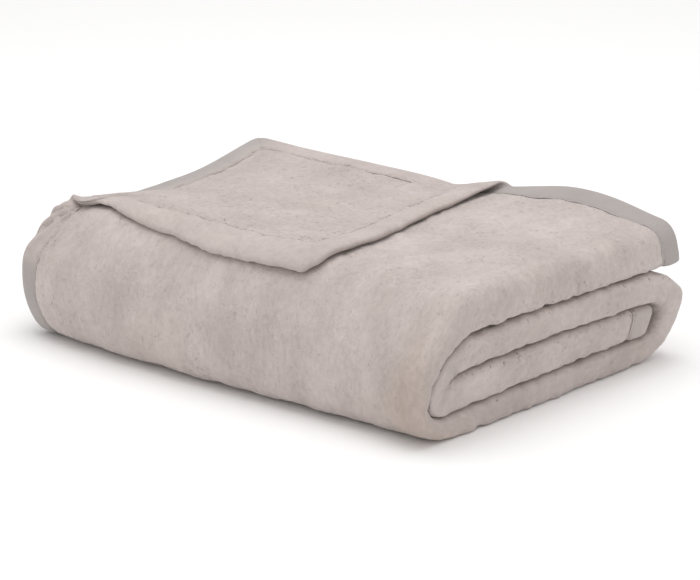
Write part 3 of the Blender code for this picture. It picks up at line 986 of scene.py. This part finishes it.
for i, direction in enumerate(("X", "Y")):
    weave = nodes.new("ShaderNodeTexWave")
    weave.bands_direction = direction
    weave.inputs["Scale"].default_value = 260
    weave.inputs["Distortion"].default_value = 0.8
    links.new(flat_uv, weave.inputs["Vector"])
    links.new(weave.outputs["Fac"], weave_height.inputs[i])
woven = bump(nodes, links, weave_height.outputs[0], distance=0.0002, strength=0.5)
normal = mixed(nodes, links, shown, plush_bump(nodes, links, flat_uv), woven, data="VECTOR")
links.new(normal, shader.inputs["Normal"])

# Marks along a side edge and along an end, as for the cloth.
FINE_PAST_FRONT = 0.02
side_marks = (
    (0, 0.0038),
    (FRONT_START, 0.0022),
    (FLUFF_END, 0.0038),
    (FRONT_END + FINE_PAST_FRONT, 0.012),
    (BACK_START, 0.006),
    (BACK_END, 0.012),
    (INNER_START, 0.004),
    (INNER_END, 0.012),
    (CLOTH_LENGTH, 0),
)
end_marks = (
    (0, 0.0038),
    (NOSE_END, 0.012),
    (LEFT_FOLD_START, 0.002),
    (LEFT_FOLD_END, 0.012),
    (INNER_NOSE_START, 0.002),
    (INNER_NOSE_END, 0.0038),
    (CLOTH_WIDTH, 0),
)

# A smooth tape shows its knitted outside, and the bottom one, inside the roll, mostly its brushed half.
EDGES = (
    {"edge": "left", "length": CLOTH_LENGTH, "marks": side_marks, "smoothness": 1.0},
    {"edge": "right", "length": CLOTH_LENGTH, "marks": side_marks, "smoothness": 1.0},
    {"edge": "top", "length": CLOTH_WIDTH, "marks": end_marks, "smoothness": 1.0},
    {"edge": "bottom", "length": CLOTH_WIDTH, "marks": end_marks, "smoothness": 0.25},
)
for row in EDGES:
    flat = flat_tape(row["edge"], row["length"], row["marks"])
    tape = folded_object(row["edge"] + "_tape", flat, tape_shape, row["smoothness"])
    outward(tape)
    tape.data.materials.append(satin)
    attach(tape, "root")
    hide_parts("binding_" + row["edge"])

# ---------------------------------------------------------------------------------------------------------
# The stitching: one row of lockstitches along each tape, through both its faces and the cloth between them,
# in polyester thread of the tape's colour.
# ---------------------------------------------------------------------------------------------------------
STITCH_LENGTH = 0.0034
STITCH_PITCH = 0.0042
THREAD_RADIUS = 0.0003
STITCH_RINGS = 5
THREAD_SIDES = 6
STITCH_TAPER = 1.04
STITCH_RISE = 0.5
STITCH_SINK = 1.2


def stitch_rows(edge, length):
    """Flat stitches along both faces of a tape, as one mesh of closed lengths of thread."""
    middles = np.arange(TAPE_WIDTH + STITCH_PITCH, length - TAPE_WIDTH, STITCH_PITCH)
    t = np.linspace(-1, 1, STITCH_RINGS)[:, None]
    angle = np.arange(THREAD_SIDES) * 2 * pi / THREAD_SIDES
    along = t * STITCH_LENGTH / 2 + 0 * angle
    radius = THREAD_RADIUS * np.sqrt(STITCH_TAPER - t**2)
    across = radius * np.cos(angle)
    lift = radius * np.sin(angle) + THREAD_RADIUS * (STITCH_RISE - STITCH_SINK * t**2)
    points = []
    for side in (1, -1):
        for middle in middles:
            u, v = on_edge(edge, SEAM_INSET + across, middle + along)
            height = side * (TAPE_TOP - SEAM_DEPTH + lift)
            points.append(np.stack([u, v, height], axis=-1))
    points = np.array(points).reshape(-1, 3)
    per_stitch = STITCH_RINGS * THREAD_SIDES
    one = []
    for ring in range(STITCH_RINGS - 1):
        for j in range(THREAD_SIDES):
            k = (j + 1) % THREAD_SIDES
            a = ring * THREAD_SIDES
            one.append((a + j, a + k, a + THREAD_SIDES + k, a + THREAD_SIDES + j))
    caps = (tuple(range(THREAD_SIDES))[::-1], tuple(range(per_stitch - THREAD_SIDES, per_stitch)))
    faces = []
    for first in range(0, len(points), per_stitch):
        for face in (*one, *caps):
            faces.append([corner + first for corner in face])
    return flat_piece(points.tolist(), faces)


thread, nodes, links, shader = new_material("sewing_thread")
twist = noise(nodes, links, flat_place(nodes), scale=1500, detail=2, rough=0.5)
twist = ramp(nodes, links, twist, (0.35, (0.38, 0.347, 0.327)), (0.65, (0.45, 0.413, 0.390)))
links.new(twist, shader.inputs["Base Color"])
shader.inputs["Roughness"].default_value = 0.5
for row in EDGES:
    flat = stitch_rows(row["edge"], row["length"])
    made = folded_object(row["edge"] + "_stitches", flat, sewn_shape)
    outward(made)
    made.data.materials.append(thread)
    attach(made, "root")

# ---------------------------------------------------------------------------------------------------------
# The studio: white paper as a floor that runs on behind, soft light from all round and overhead with a little
# from the front, and a long lens that looks down over the blanket's right front corner.
# ---------------------------------------------------------------------------------------------------------
FLOOR_SIZE = 30.0
half = FLOOR_SIZE / 2
floor_z = cad_box[0][2]
floor_corners = [(x, y, floor_z) for x, y in ((-half, -half), (half, -half), (half, half), (-half, half))]
floor_mesh = bpy.data.meshes.new("floor")
floor_mesh.from_pydata(floor_corners, [], [(0, 1, 2, 3)])
floor = bpy.data.objects.new("floor", floor_mesh)
bpy.context.scene.collection.objects.link(floor)
paper, nodes, links, shader = new_material("white_paper")
shader.inputs["Base Color"].default_value = (0.985, 0.985, 0.985, 1)
shader.inputs["Roughness"].default_value = 0.9
shader.inputs["Specular IOR Level"].default_value = 0.1
floor_mesh.materials.append(paper)

world = bpy.data.worlds.new("studio")
world.use_nodes = True
backdrop = world.node_tree.nodes["Background"]
backdrop.inputs["Color"].default_value = (1.0, 0.99, 0.985, 1)
backdrop.inputs["Strength"].default_value = 0.70
bpy.context.scene.world = world
bpy.context.scene.view_settings.view_transform = "Standard"

LIT_POINT = Vector((0, 0, 0.08))
LIGHTS = (
    {"name": "overhead", "at": (-0.1, 0.1, 2.6), "size": 2.4, "power": 37},
    {"name": "front", "at": (0.4, -3.0, 1.2), "size": 1.6, "power": 1.5},
)
for row in LIGHTS:
    lamp = bpy.data.lights.new(row["name"], "AREA")
    lamp.size = row["size"]
    lamp.energy = row["power"]
    light = bpy.data.objects.new(row["name"], lamp)
    light.location = row["at"]
    light.rotation_euler = (LIT_POINT - light.location).to_track_quat("-Z", "Y").to_euler()
    bpy.context.scene.collection.objects.link(light)

CAMERA_AZIMUTH = radians(39.7)
CAMERA_ELEVATION = radians(17.4)
CAMERA_DISTANCE = 4.245
CAMERA_AIM = Vector((0.0083, 0.0035, 0.065))
LENS_LENGTH = 205.7
LENS_FILM_WIDTH = 36
lens = bpy.data.cameras.new("camera")
lens.sensor_width = LENS_FILM_WIDTH
lens.lens = LENS_LENGTH
camera = bpy.data.objects.new("camera", lens)
level = cos(CAMERA_ELEVATION)
ahead = Vector((-sin(CAMERA_AZIMUTH) * level, cos(CAMERA_AZIMUTH) * level, -sin(CAMERA_ELEVATION)))
camera.location = CAMERA_AIM - CAMERA_DISTANCE * ahead
camera.rotation_euler = ahead.to_track_quat("-Z", "Y").to_euler()
bpy.context.scene.collection.objects.link(camera)
bpy.context.scene.camera = camera
